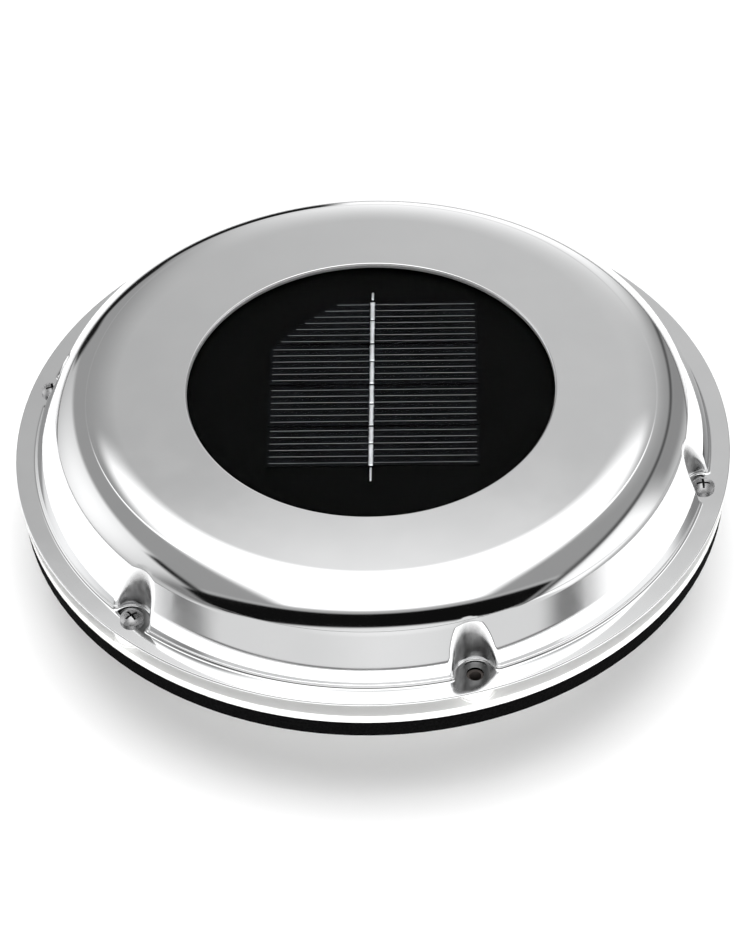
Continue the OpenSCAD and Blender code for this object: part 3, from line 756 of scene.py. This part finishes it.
def add_hem(vertices, faces, r_in, r_out, low, high):
    """Adds a flat ring that binds the ends of the wires."""
    base = len(vertices)
    for i in range(HEM_SIDES):
        a = 2 * math.pi * i / HEM_SIDES
        for r, z in ((r_in, low), (r_out, low), (r_out, high), (r_in, high)):
            vertices.append((r * math.cos(a), r * math.sin(a), z))
    for i in range(HEM_SIDES):
        p, q = base + 4 * i, base + 4 * ((i + 1) % HEM_SIDES)
        faces += [(p + k, q + k, q + (k + 1) % 4, p + (k + 1) % 4) for k in range(4)]


def make_screen():
    """Woven wires held between a round hole and a round rim, passing over and under each other."""
    low, high = (c[2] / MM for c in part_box("insect_screen"))
    middle = (low + high) / 2
    vertices, faces = [], []
    count = int(SCREEN_RIM / WIRE_PITCH)
    for direction in (0, 1):
        for n in range(-count, count + 1):
            fixed = n * WIRE_PITCH
            reach = math.sqrt(SCREEN_RIM ** 2 - fixed ** 2)
            spans = [(-reach, reach)]
            if abs(fixed) < SCREEN_HOLE:
                inner = math.sqrt(SCREEN_HOLE ** 2 - fixed ** 2)
                spans = [(-reach, -inner), (inner, reach)]
            for span in spans:
                add_wire(vertices, faces, middle, fixed, span, direction, math.pi * (n + direction))
    for r_in, r_out in HEMS:
        add_hem(vertices, faces, r_in, r_out, low, high)
    piece = new_piece("woven_screen", vertices, faces, "screen_wire", "housing", smooth=False)
    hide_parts("insect_screen")


# ---- Studio ----

def make_floor():
    size = 6.0
    low = cad_bounds[0][2]
    mesh = bpy.data.meshes.new("floor")
    mesh.from_pydata([(-size, -size, low), (size, -size, low), (size, size, low), (-size, size, low)],
                     [], [(0, 1, 2, 3)])
    floor = bpy.data.objects.new("floor", mesh)
    bpy.context.scene.collection.objects.link(floor)
    made, graph, shader = new_material("floor_paper")
    graph.feed(shader.inputs["Base Color"],
               graph.blend((0.91, 0.91, 0.91), (0.93, 0.93, 0.93), graph.noise(0.4, 2.0)))
    shader.inputs["Roughness"].default_value = 0.7
    mesh.materials.append(made)


def tent_light(graph, x, y, from_top):
    """Strength of a white tent lit from above: softboxes overhead and behind, a gap for the camera.

    x and y are directions seen from above, in degrees from overhead. +y is behind the object.
    """
    light = 0.55
    # Side panels
    light = graph.mix(light, 1.15, graph.blob(x, y, (-60, 24), 48))
    light = graph.mix(light, 1.15, graph.box(x, y, (46, 74), (-44, 16), 7))
    light = graph.mix(light, 0.28, graph.box(x, y, (44, 66), (24, 110), 6))
    # Roof of the tent, its bright middle and the softbox behind
    light = graph.mix(light, 0.33, graph.box(x, y, (-42, 46), (-14, 110), 3))
    light = graph.mix(light, 0.58, graph.blob(x, y, (9, 45), 34))
    behind = graph.math("MULTIPLY", graph.band(x, -8, 31, 12), graph.ramp(y, 46, 84))
    light = graph.mix(light, 1.25, behind)
    light = graph.mix(light, 1.4, graph.box(x, y, (-18, 20), (-11, 42), 3))
    # Front card under the camera
    light = graph.mix(light, 0.74, graph.band(y, -130, -41, 1.5))
    light = graph.mix(light, 0.95, graph.math("MULTIPLY", graph.blob(x, y, (4, -62), 42), 0.9))
    # Dark seams of the tent, and the gap that the camera looks through
    light = graph.mix(light, 0.09, graph.box(x, y, (42.5, 46.5), (-44, 84), 2))
    light = graph.mix(light, 0.01, graph.box(x, y, (-46, -33), (69, 103), 2.5))
    light = graph.mix(light, 0.01, graph.box(x, y, (-46, -2), (78, 100), 1.5))
    light = graph.mix(light, 0.01, graph.box(x, y, (-46, -20), (74, 100), 2))
    light = graph.mix(light, 0.02, graph.box(x, y, (-46, -41), (-20, 5), 2))
    light = graph.mix(light, 0.22, graph.box(x, y, (-64, -46), (-42, -12), 8))
    light = graph.mix(light, 0.005, graph.box(x, y, (-49, 42), (-40, -16), 2))
    # Seam where the table meets the tent
    light = graph.mix(light, 0.22, graph.band(from_top, 88.2, 90.6, 0.9))
    return light


def make_studio():
    """The tent, drawn on the surround by direction. It lights the object and shows in its mirror finish."""
    world = bpy.data.worlds.new("studio")
    world.use_nodes = True
    bpy.context.scene.world = world
    graph = Graph(world.node_tree)
    place = graph.node("ShaderNodeTexCoord")
    split = graph.node("ShaderNodeSeparateXYZ")
    graph.feed(split.inputs[0], place.outputs["Generated"])
    dx, dy, dz = split.outputs
    from_top = graph.math("DEGREES", graph.math("ARCCOSINE", dz))
    level = graph.math("MAXIMUM", graph.length(dx, dy), 0.0001)
    x = graph.math("MULTIPLY", from_top, graph.math("DIVIDE", dx, level))
    y = graph.math("MULTIPLY", from_top, graph.math("DIVIDE", dy, level))
    light = tent_light(graph, x, y, from_top)

    glow = world.node_tree.nodes.get("Background") or graph.node("ShaderNodeBackground")
    out = world.node_tree.nodes.get("World Output") or graph.node("ShaderNodeOutputWorld")
    glow.inputs["Color"].default_value = (1, 1, 1, 1)
    graph.feed(glow.inputs["Strength"], light)
    graph.feed(out.inputs["Surface"], glow.outputs[0])


def make_lamp(name, place, size, energy):
    """A round lamp aimed at the object, placed in metres. It doesn't show in the mirror finish."""
    data = bpy.data.lights.new(name, "AREA")
    data.shape = "DISK"
    data.size = size
    data.energy = energy
    lamp = bpy.data.objects.new(name, data)
    lamp.location = place
    lamp.rotation_euler = (-Vector(place)).to_track_quat("-Z", "Y").to_euler()
    lamp.visible_glossy = False
    bpy.context.scene.collection.objects.link(lamp)


def make_camera():
    data = bpy.data.cameras.new("camera")
    data.sensor_width = SENSOR_W
    data.lens = CAMERA_LENS
    camera = bpy.data.objects.new("camera", data)
    forward = Vector(CAMERA_FORWARD).normalized()
    right = forward.cross(Vector(CAMERA_UP)).normalized()
    up = right.cross(forward)
    turn = Matrix((right, up, -forward)).transposed().to_4x4()
    camera.matrix_world = Matrix.Translation(Vector(CAMERA_PLACE) * MM) @ turn
    bpy.context.scene.collection.objects.link(camera)
    bpy.context.scene.camera = camera


make_camera()
dress_cad_nodes()
make_cover()
make_fingers()
make_ribbon()
make_screen()
make_floor()
make_studio()
make_lamp("overhead", place=(0, 0.1, 1.9), size=2.4, energy=34)
make_lamp("front_fill", place=(0.2, -1.5, 0.55), size=1.4, energy=22)
bpy.context.scene.view_settings.view_transform = "Standard"
